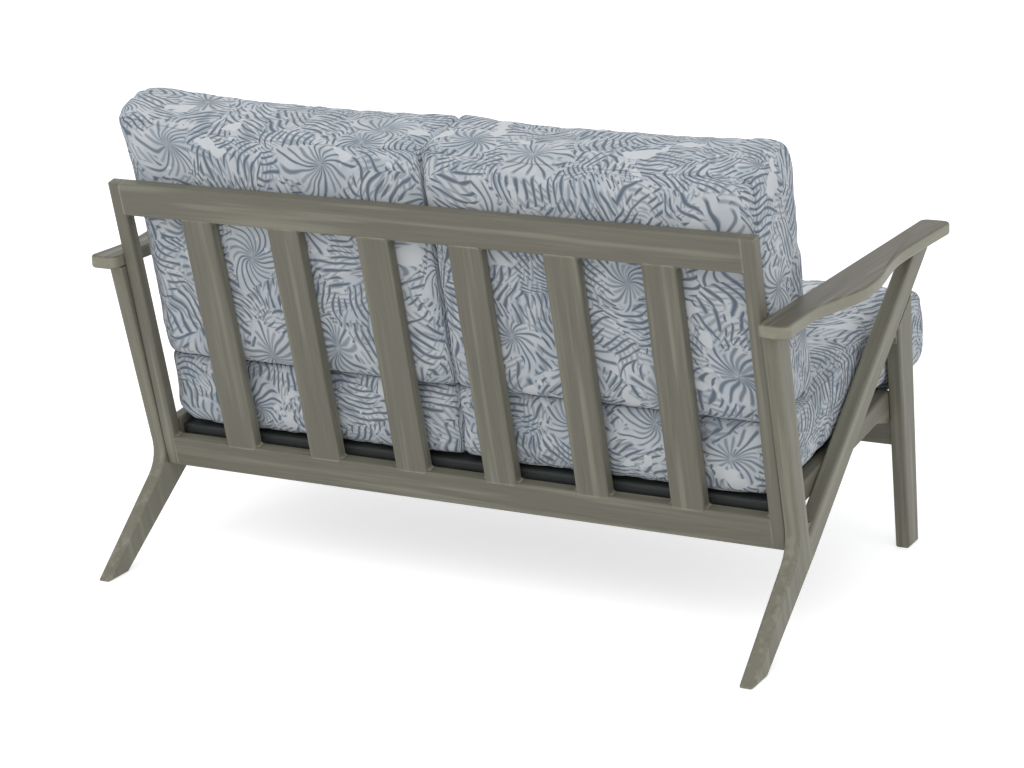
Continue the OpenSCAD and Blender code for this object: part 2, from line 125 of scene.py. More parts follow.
class SofaClothSettings(bpy.types.PropertyGroup):
    """Colours of the cloths and sizes of the cushions"""

    ground: bpy.props.FloatVectorProperty(
        name="Ground", description="Colour of the unprinted cloth", subtype="COLOR",
        size=4, min=0, max=1, default=tone(233, 236, 239))
    wash: bpy.props.FloatVectorProperty(
        name="Wash", description="Soft middle tone of the print", subtype="COLOR",
        size=4, min=0, max=1, default=tone(204, 212, 220))
    ink: bpy.props.FloatVectorProperty(
        name="Ink", description="Colour of the printed strokes", subtype="COLOR",
        size=4, min=0, max=1, default=tone(94, 111, 128))
    seat_width: bpy.props.FloatProperty(
        name="Seat Width", description="Width of one seat cushion", unit="LENGTH", default=0.6375)
    seat_depth: bpy.props.FloatProperty(
        name="Seat Depth", description="Depth of a seat cushion", unit="LENGTH", default=0.708)
    seat_thick: bpy.props.FloatProperty(
        name="Seat Thickness", description="Crown thickness of a seat cushion",
        unit="LENGTH", default=0.157)
    back_width: bpy.props.FloatProperty(
        name="Back Width", description="Width of one back cushion", unit="LENGTH", default=0.6295)
    back_high: bpy.props.FloatProperty(
        name="Back Height", description="Height of a back cushion up its slope",
        unit="LENGTH", default=0.467)
    back_thick: bpy.props.FloatProperty(
        name="Back Thickness", description="Crown thickness of a back cushion",
        unit="LENGTH", default=0.190)
    split: bpy.props.FloatProperty(
        name="Split", description="Gap between the two cushions of a pair", unit="LENGTH", default=0.0005)
    mesh_pitch: bpy.props.FloatProperty(
        name="Mesh Pitch", description="Spacing of the cover's mesh", unit="LENGTH", default=0.0125)
    sling: bpy.props.FloatVectorProperty(
        name="Sling", description="Colour of the sling under the cushions", subtype="COLOR",
        size=4, min=0, max=1, default=tone(66, 71, 69))


class SofaStageSettings(bpy.types.PropertyGroup):
    """Floor and light"""

    floor_colour: bpy.props.FloatVectorProperty(
        name="Floor", description="Colour of the studio floor", subtype="COLOR",
        size=4, min=0, max=1, default=(0.86, 0.86, 0.86, 1))
    sky_strength: bpy.props.FloatProperty(
        name="Sky", description="Strength of the even light from all round", default=0.53, min=0)
    lamp_strength: bpy.props.FloatProperty(
        name="Lamp", description="Strength of the soft lamps", default=2.0, min=0)


# Shader nodes and finishes

FLOAT, COLOUR, VECTOR = "NodeSocketFloat", "NodeSocketColor", "NodeSocketVector"

# Painted shade between the threads and in the seams' creases, the colour of the sling's stitches, and the
# soft rim of a stroke
THREAD_SHADE = tone(70, 80, 94)
SEAM_SHADE = tone(44, 56, 72)
STITCH_SHADE = tone(78, 84, 86)
STROKE_FADE = 0.0020


def feed(tree, node, inputs):
    """Give each input of a node its value, or a link from another node's output."""
    for key, item in inputs.items():
        if isinstance(item, bpy.types.NodeSocket):
            tree.links.new(item, node.inputs[key])
        else:
            node.inputs[key].default_value = item


def place(tree, kind, inputs=None, **settings):
    """New node with its settings and its inputs."""
    node = tree.nodes.new(kind)
    for key, value in settings.items():
        setattr(node, key, value)
    feed(tree, node, inputs or {})
    return node


def calc(tree, operation, *values):
    """Output of a math node."""
    return place(tree, "ShaderNodeMath", dict(enumerate(values)), operation=operation).outputs[0]


def times(tree, product, *others):
    """Product of two or more values."""
    for other in others:
        product = calc(tree, "MULTIPLY", product, other)
    return product


def vector_calc(tree, operation, *values, output="Vector"):
    """Output of a vector math node."""
    inputs = {("Scale" if operation == "SCALE" and i == 1 else i): v for i, v in enumerate(values)}
    return place(tree, "ShaderNodeVectorMath", inputs, operation=operation).outputs[output]


def axes_of(tree, vector):
    """The X, Y and Z of a vector."""
    return place(tree, "ShaderNodeSeparateXYZ", {0: vector}).outputs


def ramp(tree, value, low, high, to_low=0.0, to_high=1.0):
    """Smooth change from to_low to to_high as the value goes from low to high."""
    limits = {"Value": value, "From Min": low, "From Max": high, "To Min": to_low, "To Max": to_high}
    return place(tree, "ShaderNodeMapRange", limits, interpolation_type="SMOOTHSTEP").outputs["Result"]


def off_middle(tree, value):
    """How far a value lies from the middle between two whole numbers."""
    return calc(tree, "ABSOLUTE", calc(tree, "SUBTRACT", calc(tree, "FRACT", value), 0.5))


def noise(tree, vector, scale=1.0, detail=2.0, roughness=0.5, flat=False, output="Fac"):
    """Soft random value, in space or over the flat cloth."""
    inputs = {"Vector": vector, "Scale": scale, "Detail": detail, "Roughness": roughness}
    dimensions = "2D" if flat else "3D"
    return place(tree, "ShaderNodeTexNoise", inputs, noise_dimensions=dimensions).outputs[output]


def grain_noise(tree, vector, along, across, **more):
    """Soft random value drawn out along X, from its changes in a metre along X and across it."""
    return noise(tree, vector_calc(tree, "MULTIPLY", vector, (along, across, across)), **more)


def blend_colour(tree, share, first, second):
    """Colour that goes from the first to the second with the share."""
    return place(tree, "ShaderNodeMix", {0: share, 6: first, 7: second}, data_type="RGBA").outputs[2]


def relief(tree, height, distance, strength=0.8, **under):
    """Normal of a finish that stands up by its height times the distance."""
    inputs = {"Height": height, "Distance": distance, "Strength": strength, **under}
    return place(tree, "ShaderNodeBump", inputs).outputs[0]


def new_group(name, inputs, outputs):
    """Node group with named sockets, the outputs of its input node, and its output node."""
    tree = bpy.data.node_groups.new(name, "ShaderNodeTree")
    for label, kind, value in inputs:
        socket = tree.interface.new_socket(label, in_out="INPUT", socket_type=kind)
        if value is not None:
            socket.default_value = value
    for label, kind in outputs:
        tree.interface.new_socket(label, in_out="OUTPUT", socket_type=kind)
    return tree, tree.nodes.new("NodeGroupInput").outputs, tree.nodes.new("NodeGroupOutput")


def painted_grain(name):
    """Paint over open grain, along X of the vector in metres, with painted edge highlights and painted side
    light.
    """
    tree, given, result = new_group(
        name,
        [("Vector", VECTOR, None), ("Paint", COLOUR, None), ("Pale And Highlight Paint", COLOUR, None),
         ("Pore Paint", COLOUR, None), ("Edge Width", FLOAT, 0.003), ("Edge Wear And Highlight Share", FLOAT, 0.5),
         ("Painted Side Light Share", FLOAT, 0.0)],
        [("Colour", COLOUR), ("Roughness", FLOAT), ("Height", FLOAT)])
    at = given["Vector"]
    bends = grain_noise(tree, at, 1.6, 26.0, detail=3.0, roughness=0.55)
    pores = grain_noise(tree, at, 9.0, 420.0, roughness=0.6)
    strokes = grain_noise(tree, at, 4.0, 130.0)
    rubbed = grain_noise(tree, at, 2.4, 62.0)
    pore = ramp(tree, pores, 0.54, 0.70)
    streak = ramp(tree, bends, 0.35, 0.65)
    # Painted light: upright faces are made paler than the faces that look up, as if lit from the side
    facing_up = axes_of(tree, tree.nodes.new("ShaderNodeTexCoord").outputs["Normal"])["Z"]
    painted_side_light = ramp(tree, calc(tree, "ABSOLUTE", facing_up), 0.85, 0.45)
    # Rounded normal against the flat one: it differs only near an edge. There the paint is paler, partly
    # worn thin and partly a painted highlight on the rounded edge
    round_over = place(tree, "ShaderNodeBevel", {"Radius": given["Edge Width"]}, samples=4).outputs[0]
    flat_normal = tree.nodes.new("ShaderNodeNewGeometry").outputs["Normal"]
    facing = vector_calc(tree, "DOT_PRODUCT", round_over, flat_normal, output="Value")
    patch = noise(tree, at, 34.0, detail=3.0)
    wear_and_highlight = times(tree, ramp(tree, facing, 0.99, 0.86), ramp(tree, patch, 0.30, 0.66, 0.35, 1.0),
                 given["Edge Wear And Highlight Share"])
    body = given["Paint"]
    for share, paint in (
        (times(tree, pore, calc(tree, "MULTIPLY_ADD", streak, 0.32, 0.12)), "Pore Paint"),
        (times(tree, streak, 0.14), "Pore Paint"),
        (times(tree, ramp(tree, strokes, 0.45, 0.75), 0.12), "Pale And Highlight Paint"),
        (ramp(tree, rubbed, 0.50, 0.72, 0.0, 0.42), "Pale And Highlight Paint"),
        (times(tree, painted_side_light, given["Painted Side Light Share"]), "Pale And Highlight Paint"),
        (wear_and_highlight, "Pale And Highlight Paint"),
    ):
        body = blend_colour(tree, share, body, given[paint])
    smooth = calc(tree, "MULTIPLY_ADD", strokes, 0.12, 0.42)
    feed(tree, result, {
        "Colour": body, "Roughness": calc(tree, "MULTIPLY_ADD", pore, 0.10, smooth),
        "Height": calc(tree, "MULTIPLY_ADD", strokes, 0.5, times(tree, pore, -0.5))})
    return tree


def plain_weave(name):
    """Plain weave of crossing threads, with the pitch in metres."""
    tree, given, result = new_group(
        name, [("Vector", VECTOR, None), ("Pitch", FLOAT, 0.0012)], [("Height", FLOAT), ("Shade", FLOAT)])
    turns = calc(tree, "DIVIDE", math.pi, given["Pitch"])
    part = axes_of(tree, vector_calc(tree, "SCALE", given["Vector"], turns))
    waves = [calc(tree, "SINE", part[axis]) for axis in "XY"]
    warp, weft = [calc(tree, "ABSOLUTE", wave) for wave in waves]
    over = ramp(tree, times(tree, *waves), -0.25, 0.25)
    under = calc(tree, "SUBTRACT", 1.0, over)
    height = calc(tree, "ADD", times(tree, warp, over), times(tree, weft, under))
    slub = noise(tree, vector_calc(tree, "MULTIPLY", given["Vector"], (60.0, 900.0, 60.0)))
    # Shade is painted shade in the gaps between the threads, varied by the threads' uneven thickness
    shade = times(tree, height, ramp(tree, slub, 0.3, 0.7, 0.82, 1.0))
    feed(tree, result, {"Height": height, "Shade": shade})
    return tree


def scattered_cells(tree, given, randomness):
    """Cells scattered over the cloth: the place from the cell's middle, and the cell's three chances."""
    cells = place(
        tree, "ShaderNodeTexVoronoi",
        {"Vector": given["Vector"], "Scale": given["Density"], "Randomness": randomness},
        voronoi_dimensions="2D").outputs
    local = vector_calc(tree, "SUBTRACT", given["Vector"], cells["Position"])
    return local, place(tree, "ShaderNodeSeparateColor", {0: cells["Color"]}).outputs


def seed_heads(name):
    """Scattered seed heads: round bursts of strokes about an open middle, some of them left out."""
    tree, given, result = new_group(
        name,
        [("Vector", VECTOR, None), ("Density", FLOAT, 7.2), ("Strokes", FLOAT, 18.0),
         ("Width", FLOAT, 0.0052), ("Twist", FLOAT, 16.0), ("Shown", FLOAT, 0.62)],
        [("Ink", FLOAT), ("Wash", FLOAT), ("Cover", FLOAT)])
    local, chance = scattered_cells(tree, given, 0.9)
    part = axes_of(tree, local)
    reach = vector_calc(tree, "LENGTH", local, output="Value")
    spin = times(tree, calc(tree, "MULTIPLY_ADD", chance["Green"], 2.0, -1.0), given["Twist"])
    turn = calc(tree, "MULTIPLY_ADD", reach, spin, calc(tree, "ARCTAN2", part["Y"], part["X"]))
    count = calc(tree, "DIVIDE", given["Strokes"], 2 * math.pi)
    spoke = calc(tree, "MULTIPLY_ADD", turn, count, times(tree, chance["Green"], 7.0))
    aside = calc(tree, "DIVIDE", times(tree, off_middle(tree, spoke), reach), count)
    # Each stroke has its own length and weight
    which = {"X": calc(tree, "FLOOR", spoke), "Y": times(tree, chance["Red"], 97.0)}
    which = place(tree, "ShaderNodeCombineXYZ", which).outputs[0]
    own = place(tree, "ShaderNodeTexWhiteNoise", {"Vector": which}, noise_dimensions="2D").outputs["Value"]
    rim = calc(tree, "DIVIDE", calc(tree, "MULTIPLY_ADD", chance["Blue"], 0.22, 0.42), given["Density"])
    rim = times(tree, rim, calc(tree, "MULTIPLY_ADD", own, 0.55, 0.50))
    share = calc(tree, "DIVIDE", reach, rim)
    half = times(tree, given["Width"], 0.5, ramp(tree, share, 0.1, 0.75, 0.25, 1.0))
    body = ramp(tree, aside, times(tree, half, 0.4), calc(tree, "ADD", half, STROKE_FADE), 1.0, 0.0)
    root = ramp(tree, share, 0.05, 0.20, times(tree, own, 0.8), 1.0)
    tip = ramp(tree, share, 0.86, 1.0, calc(tree, "MULTIPLY_ADD", own, 0.5, 0.5), 0.0)
    shown = calc(tree, "LESS_THAN", chance["Red"], given["Shown"])
    feed(tree, result, {
        "Ink": times(tree, body, root, tip, shown),
        "Wash": times(tree, ramp(tree, share, 0.1, 1.0, 0.8, 0.2), shown),
        "Cover": times(tree, ramp(tree, share, 0.96, 1.06, 1.0, 0.0), shown)})
    return tree


def bowed_strokes(name):
    """Patches of bowed, near-parallel strokes, each patch turned its own way."""
    tree, given, result = new_group(
        name,
        [("Vector", VECTOR, None), ("Density", FLOAT, 10.0), ("Pitch", FLOAT, 0.0130),
         ("Width", FLOAT, 0.0052)],
        [("Ink", FLOAT), ("Tone", FLOAT)])
    local, chance = scattered_cells(tree, given, 1.0)
    turn = {"Vector": local, "Angle": times(tree, chance["Red"], 2 * math.pi)}
    turned = place(tree, "ShaderNodeVectorRotate", turn, rotation_type="Z_AXIS").outputs[0]
    part = axes_of(tree, turned)
    bow = times(tree, part["X"], part["X"], calc(tree, "MULTIPLY_ADD", chance["Green"], 9.0, 1.5))
    row = calc(tree, "DIVIDE", calc(tree, "ADD", part["Y"], bow), given["Pitch"])
    aside = times(tree, off_middle(tree, row), given["Pitch"])
    # Breaks along each row leave separate strokes
    break_at = vector_calc(tree, "MULTIPLY", turned, (26.0, 95.0, 1.0))
    ragged = noise(tree, break_at, detail=1.0, flat=True)
    half = times(tree, given["Width"], 0.5, ramp(tree, ragged, 0.34, 0.60, 0.0, 1.3))
    body = ramp(tree, aside, times(tree, half, 0.3), calc(tree, "ADD", half, STROKE_FADE), 1.0, 0.0)
    ink = times(tree, body, ramp(tree, ragged, 0.34, 0.44))
    feed(tree, result, {"Ink": ink, "Tone": chance["Blue"]})
    return tree


GROUPS = {
    "Painted Grain": painted_grain,
    "Plain Weave": plain_weave,
    "Seed Heads": seed_heads,
    "Bowed Strokes": bowed_strokes,
}


def use_group(tree, name, inputs):
    """Outputs of a node group placed with its own values. It is built when it is first asked for."""
    group = bpy.data.node_groups.get(name) or GROUPS[name](name)
    return place(tree, "ShaderNodeGroup", inputs, node_tree=group).outputs


def new_material(name):
    """Material with an empty tree, the tree and its shader."""
    material = bpy.data.materials.new(name)
    material.use_nodes = True
    tree = material.node_tree
    tree.nodes.clear()
    shader = tree.nodes.new("ShaderNodeBsdfPrincipled")
    place(tree, "ShaderNodeOutputMaterial", {"Surface": shader.outputs[0]})
    return material, tree, shader


def painted_timber(name, grain, settings, paint, painted_side_light):
    """Painted board whose grain runs along the direction given. The side light share paints upright faces
    paler: painted light."""
    material, tree, shader = new_material(name)
    spin = Vector(grain).rotation_difference(Vector((1, 0, 0))).to_euler()
    here = tree.nodes.new("ShaderNodeTexCoord").outputs["Object"]
    turned = place(tree, "ShaderNodeMapping", {"Vector": here, "Rotation": spin})
    made = use_group(tree, "Painted Grain", {
        "Vector": turned.outputs[0], "Paint": tuple(paint), "Pale And Highlight Paint": tuple(settings.pale_and_highlight_paint),
        "Pore Paint": tuple(settings.pore_paint), "Edge Width": 0.004, "Edge Wear And Highlight Share": 0.65,
        "Painted Side Light Share": painted_side_light})
    feed(tree, shader, {
        "Base Color": made["Colour"], "Roughness": made["Roughness"], "Specular IOR Level": 0.4,
        "Normal": relief(tree, made["Height"], settings.grain_depth)})
    return material


def cloth_place(tree):
    """Place on the flat cloth, in metres."""
    return place(tree, "ShaderNodeUVMap", uv_map="panel").outputs[0]


def kept_distance(tree, name):
    """Distance that is kept with the mesh, such as the one to the nearest seam."""
    return place(tree, "ShaderNodeAttribute", attribute_name=name).outputs["Fac"]


def printed_cloth(settings):
    """Woven cloth with a loose printed pattern of seed heads and bowed strokes."""
    material, tree, shader = new_material("printed_cloth")
    panel = cloth_place(tree)
    drift = noise(tree, panel, 13.0, detail=1.0, flat=True, output="Color")
    drift = vector_calc(tree, "SUBTRACT", drift, (0.5, 0.5, 0.5))
    at = vector_calc(tree, "ADD", panel, vector_calc(tree, "SCALE", drift, 0.030))
    heads = use_group(tree, "Seed Heads", {"Vector": at})
    grass = use_group(tree, "Bowed Strokes", {"Vector": at})
    elsewhere = vector_calc(tree, "ADD", at, (0.431, 0.277, 0.0))
    under = use_group(tree, "Bowed Strokes", {
        "Vector": elsewhere, "Density": 13.0, "Pitch": 0.0100, "Width": 0.0036})
    behind = calc(tree, "MAXIMUM", grass["Ink"], times(tree, under["Ink"], 0.55))
    behind = times(tree, behind, calc(tree, "SUBTRACT", 1.0, heads["Cover"]))
    ink = calc(tree, "MAXIMUM", heads["Ink"], behind)
    cloud = ramp(tree, noise(tree, panel, 20.0, flat=True), 0.36, 0.62, 0.30, 0.90)
    cloud = times(tree, cloud, calc(tree, "MULTIPLY_ADD", grass["Tone"], 0.5, 0.6))
    wash = calc(tree, "MAXIMUM", heads["Wash"], cloud)
    # Some patches stay bare, with a ragged edge
    printed = ramp(tree, noise(tree, at, 10.0, detail=3.0, roughness=0.55, flat=True), 0.680, 0.655)
    cloth = blend_colour(tree, times(tree, wash, printed), tuple(settings.ground), tuple(settings.wash))
    cloth = blend_colour(tree, times(tree, ink, 0.9, printed), cloth, tuple(settings.ink))
    weave = use_group(tree, "Plain Weave", {"Vector": panel, "Pitch": 0.0011})
    # Painted shade in the gaps between the threads
    cloth = blend_colour(tree, ramp(tree, weave["Shade"], 0.2, 0.95, 0.16, 0.0), cloth, THREAD_SHADE)
    # Painted shade darkens the cloth in the seams' creases
    seam = kept_distance(tree, "seam_gap")
    fine = relief(tree, weave["Height"], 0.0002, strength=0.6)
    feed(tree, shader, {
        "Base Color": blend_colour(tree, ramp(tree, seam, 0.0004, 0.0022, 0.30, 0.0), cloth, SEAM_SHADE),
        "Normal": relief(tree, ramp(tree, seam, 0.0, 0.0035), 0.0010, Normal=fine),
        "Roughness": ramp(tree, weave["Height"], 0.0, 1.0, 0.92, 0.80),
        "Specular IOR Level": 0.25, "Sheen Weight": 0.12, "Sheen Roughness": 0.5})
    return material


def sling_cloth(settings):
    """Black basket weave with stitched hems."""
    material, tree, shader = new_material("sling_cloth")
    hem, stitch_pitch, stitch_share, thread_dark = 0.018, 0.0045, 0.68, 0.45
    panel = cloth_place(tree)
    weave = use_group(tree, "Plain Weave", {"Vector": panel, "Pitch": 0.0030})
    off_line = calc(tree, "ABSOLUTE", calc(tree, "SUBTRACT", kept_distance(tree, "hem_gap"), hem))
    part = axes_of(tree, panel)
    dash = calc(tree, "FRACT", calc(tree, "DIVIDE", calc(tree, "ADD", part["X"], part["Y"]), stitch_pitch))
    stitch = times(tree, ramp(tree, off_line, 0.0004, 0.0009, 1.0, 0.0),
                   calc(tree, "LESS_THAN", dash, stitch_share))
    # Painted shade: the sling's colour darkened in the gaps between its threads
    dark = tuple(c * thread_dark for c in settings.sling[:3]) + (1.0,)
    base = blend_colour(tree, weave["Shade"], dark, tuple(settings.sling))
    feed(tree, shader, {
        "Base Color": blend_colour(tree, stitch, base, STITCH_SHADE),
        "Normal": relief(tree, calc(tree, "ADD", weave["Height"], stitch), 0.0005),
        "Roughness": ramp(tree, weave["Height"], 0.0, 1.0, 0.75, 0.55)})
    return material


# Cushion covers

# How square a cushion's section and plan are, how far up its half thickness the seams run, the fall
# from the crown to the seam, and the step between the two panels on the flat cloth
SECTION_POWER = 14
PLAN_POWER = 2 / 0.11
SEAM_HIGH = 0.90
CROWN = 0.005
PANEL_STEP = 1.7

# How far from an edge a pressed cushion is squared, and the share of its roundness that is left
SQUARED_REACH = 0.042
ROUND_LEFT = 0.12


def rising(value, start, run):
    """Share that grows from 0 at the start to 1 a run further on."""
    return np.clip((value - start) / run, 0, 1)


def falling(value, end, run):
    """Share that is 1 until a run before the end, and 0 from the end on."""
    return np.clip((end - value) / run, 0, 1)


def eased(share):
    """A share from 0 to 1 with a soft start and a soft end."""
    return share * share * (3 - 2 * share)


def crowned(points):
    """How far each point of the unit box lies from the cushion's own surface: 1 on the surface."""
    a, b, c = np.abs(points).T
    plan = (a ** PLAN_POWER + b ** PLAN_POWER) ** (SECTION_POWER / PLAN_POWER)
    return (plan + c ** SECTION_POWER) ** (1 / SECTION_POWER)


def cover_grid(size, pitch, matched):
    """Closed cover made of two panels and the boxing strip between them, cut so that the print runs on
    from the matched panel, 0 the lower or 1 the upper, into the strip.
    Returns the unit box points, the quads, the flat place of each corner of each quad, and the seams."""
    width, depth, thick = size
    nx, ny = int(round(width / pitch)), int(round(depth / pitch))
    rows = max(4, int(round(thick * SEAM_HIGH / pitch)))
    us, vs = np.linspace(-1, 1, nx + 1), np.linspace(-1, 1, ny + 1)
    points, quads, flat, loops = [], [], [], []
    for side, level in enumerate((-SEAM_HIGH, SEAM_HIGH)):
        grid = len(points) + np.arange((nx + 1) * (ny + 1)).reshape(ny + 1, nx + 1)
        points += [(u, v, level) for v in vs for u in us]
        for j in range(ny):
            for i in range(nx):
                ring = [grid[j, i], grid[j, i + 1], grid[j + 1, i + 1], grid[j + 1, i]]
                spots = [(us[i], vs[j]), (us[i + 1], vs[j]), (us[i + 1], vs[j + 1]), (us[i], vs[j + 1])]
                if side == 0:
                    ring, spots = ring[::-1], spots[::-1]
                quads.append([int(v) for v in ring])
                flat.append([(side * PANEL_STEP + u * width / 2, v * depth / 2) for u, v in spots])
        seam = np.concatenate([grid[0, :-1], grid[:-1, -1], grid[-1, :0:-1], grid[:0:-1, 0]])
        loops.append([int(v) for v in seam])
    bottom, top = loops
    count = len(bottom)
    strip = [bottom]
    for k in range(1, rows):
        level = SEAM_HIGH * (2 * k / rows - 1)
        start = len(points)
        points += [(points[v][0], points[v][1], level) for v in bottom]
        strip.append(list(range(start, start + count)))
    strip.append(top)
    ways = [(0, -1)] * nx + [(1, 0)] * ny + [(0, 1)] * nx + [(-1, 0)] * ny
    for k in range(rows):
        out_by = [thick * abs(matched - level / rows) for level in (k, k + 1)]
        for i in range(count):
            j = (i + 1) % count
            quads.append([strip[k][i], strip[k][j], strip[k + 1][j], strip[k + 1][i]])
            spots = []
            for corner, far in ((i, 0), (j, 0), (j, 1), (i, 1)):
                u, v = points[bottom[corner]][0] * width / 2, points[bottom[corner]][1] * depth / 2
                u += matched * PANEL_STEP
                spots.append((u + ways[i][0] * out_by[far], v + ways[i][1] * out_by[far]))
            flat.append(spots)
    return np.array(points, float), quads, flat, loops


def drawn_in(points, size, draw):
    """The unit points at full size, with a crown on top and the sides drawn in between the corners."""
    width, depth, thick = size
    shape = points / crowned(points)[:, None]
    x = shape[:, 0] * (width / 2 - draw * (1 - shape[:, 1] ** 2))
    y = shape[:, 1] * (depth / 2 - draw * (1 - shape[:, 0] ** 2))
    spread = np.clip(np.maximum(np.abs(shape[:, 0]), np.abs(shape[:, 1])), 0, 1)
    z = shape[:, 2] * (thick / 2 - np.where(shape[:, 2] > 0, CROWN * spread ** 2, 0))
    return np.stack([x, y, z], axis=1)


def settled(points, size, skew, tuck):
    """The lower end skewed to lie along what it stands on, and the outer side tucked in over its lowest
    few centimetres, but not at the front, where no rail holds it."""
    width, depth, thick = size
    rail_high, high_fade, rail_end, end_fade = 0.017, 0.022, -0.160, 0.018
    from_low = points[:, 2] + thick / 2
    above = eased(rising(from_low, rail_high, high_fade))
    share = (1 - above) * eased(rising(points[:, 1], rail_end, end_fade))
    x = points[:, 0] - np.where(points[:, 0] > 0, tuck * share * (2 * points[:, 0] / width) ** 3, 0)
    y = points[:, 1] + skew * from_low * (0.5 - points[:, 1] / depth)
    return np.stack([x, y, points[:, 2]], axis=1)


def full_corners(points, size, kind, sign):
    """The fuller corners: the front outer one of a seat cushion, and the outer top one of a back cushion,
    which on the left stands up, pinched thinner, and on the right is only crisp."""
    across = np.clip(0.5 + points[:, 0] / size[0], 0, 1)
    upward = np.clip(0.5 + points[:, 1] / size[1], 0, 1)
    inner = ((1 - across) * upward) ** 12
    if kind == "seat":
        stand_out = 0.008
        middle = np.cos(points[:, 2] / size[2] * math.pi).clip(0)
        swell = stand_out * middle * (across * (1 - upward)) ** 6
        points[:, 0] += swell
        points[:, 1] -= swell
    elif sign < 0:
        corner_out, corner_up, side_out, inner_up, top_fall = 0.004, 0.006, 0.006, 0.010, 0.005
        crisp = (across * upward) ** 14
        points[:, 0] += corner_out * crisp + side_out * across ** 4 * np.sin(math.pi * upward)
        points[:, 1] += corner_up * crisp + inner_up * inner - top_fall * upward ** 2
    else:
        # The tip stands out and up, most of all in front and at mid-thickness, and is pinched thin
        shoulder_up, inner_fall, side_hollow, pinch = 0.020, 0.004, 0.0075, 0.090
        shoulder = (across * upward) ** 4
        tip = across ** 12 * upward ** 14
        front = np.clip(0.5 + points[:, 2] / size[2], 0, 1)
        belly = 4 * front * (1 - front)
        tip_out = 0.019 + 0.034 * front + 0.020 * belly
        tip_up = 0.017 + 0.014 * front + 0.015 * belly
        points[:, 0] += tip_out * tip - side_hollow * across ** 4 * upward ** 2
        points[:, 1] += tip_up * tip + shoulder_up * shoulder - inner_fall * inner
        points[:, 2] -= pinch * tip * front
    return points


def flatter(gap):
    """Distance from a flat face, once the roundness near the face's edge is mostly pressed out."""
    return gap * (ROUND_LEFT + (1 - ROUND_LEFT) * eased(rising(gap, 0, SQUARED_REACH)))


def squared(points, size, kind):
    """The edges where cushions press on one another are square, and the front of a seat cushion, which
    nothing carries, hangs a little."""
    width, depth, thick = size
    edge, edge_fade = 0.06, 0.05
    aside = np.maximum(points[:, 0] + width / 2, 0)
    inner = falling(aside, edge, edge_fade)
    aside = flatter(aside)
    if kind == "back":
        low = flatter(np.maximum(points[:, 1] + depth / 2, 0))
        gap = np.maximum(depth / 2 - points[:, 1], 0)
        # Between the two faces, where the pair press on each other, the lower corner is full
        fullness, face_fade, corner, corner_fade = 0.85, 0.03, 0.10, 0.06
        deep = falling(np.abs(points[:, 2]), 0.45 * thick, face_fade)
        left_open = 1 - fullness * deep * falling(aside + low, corner, corner_fade)
        points[:, 0] = aside * left_open - width / 2
        points[:, 1] = low * left_open - depth / 2 + inner * (gap - flatter(gap))
        return points
    # A seat cushion's inner side is full under the back cushions
    fullness, back_reach, back_fade = 0.8, 0.18, 0.03
    from_rear = points[:, 1] - depth / 2
    under_back = rising(from_rear, -back_reach, back_fade)
    points[:, 0] = aside * (1 - fullness * under_back * inner) - width / 2
    gap = np.maximum(thick / 2 - CROWN - points[:, 2], 0)
    rear = rising(from_rear, -edge, edge_fade)
    points[:, 2] += np.where(points[:, 2] > 0, rear * (gap - flatter(gap)), 0)
    # Its lower outer edge is squared over the side rail's front end, and sinks a little there
    rail_wide, rail_fade, rail_end, end_fade, sink = 0.032, 0.014, -0.132, 0.02, 0.001
    low = np.maximum(points[:, 2] + thick / 2, 0)
    over = rising(points[:, 0] - width / 2, -rail_wide, rail_fade)
    over *= falling(points[:, 1], rail_end, end_fade)
    points[:, 2] -= np.where(points[:, 2] < 0, over * (low - flatter(low) + sink), 0)
    hang, hang_from, hang_run = 0.009, -0.19, 0.165
    points[:, 2] -= hang * eased(falling(points[:, 1], hang_from, hang_run))
    return points


def smooth_noise(places, seed, scale):
    """Seeded waves summed into a soft random value between about -1 and 1 at each place."""
    waves, spread = 9, 3.2
    chance = np.random.default_rng(seed)
    total = np.zeros(len(places))
    for _ in range(waves):
        way = chance.normal(size=3)
        way *= chance.uniform(0.6, 1.5) / np.linalg.norm(way)
        total += np.sin(places @ way * (2 * math.pi / scale) + chance.uniform(0, 2 * math.pi))
    return total / spread


def mesh_object(name, points, quads, flat, material):
    """Smooth mesh object with its flat places kept as the map named panel."""
    mesh = bpy.data.meshes.new(name)
    mesh.from_pydata([tuple(p) for p in points], [], quads)
    layer = mesh.uv_layers.new(name="panel")
    layer.data.foreach_set("uv", np.array(flat, np.float32).ravel())
    mesh.polygons.foreach_set("use_smooth", [True] * len(mesh.polygons))
    mesh.materials.append(material)
    mesh.update()
    made = bpy.data.objects.new(name, mesh)
    bpy.context.scene.collection.objects.link(made)
    return made


def keep_distances(made, name, distances):
    """Keep a distance for each point with the mesh, for its finish to read."""
    layer = made.data.attributes.new(name, "FLOAT", "POINT")
    layer.data.foreach_set("value", np.array(distances, np.float32))


def seam_gaps(points, loops):
    """Distance from each point to the nearest seam, in metres, worked out a batch of points at a time."""
    batch = 2000
    gaps = np.full(len(points), 1.0)
    for loop in loops:
        for start in range(0, len(points), batch):
            part = slice(start, start + batch)
            apart = np.linalg.norm(points[part, None, :] - points[None, loop, :], axis=2).min(axis=1)
            gaps[part] = np.minimum(gaps[part], apart)
        gaps[loop] = 0.0
    return gaps


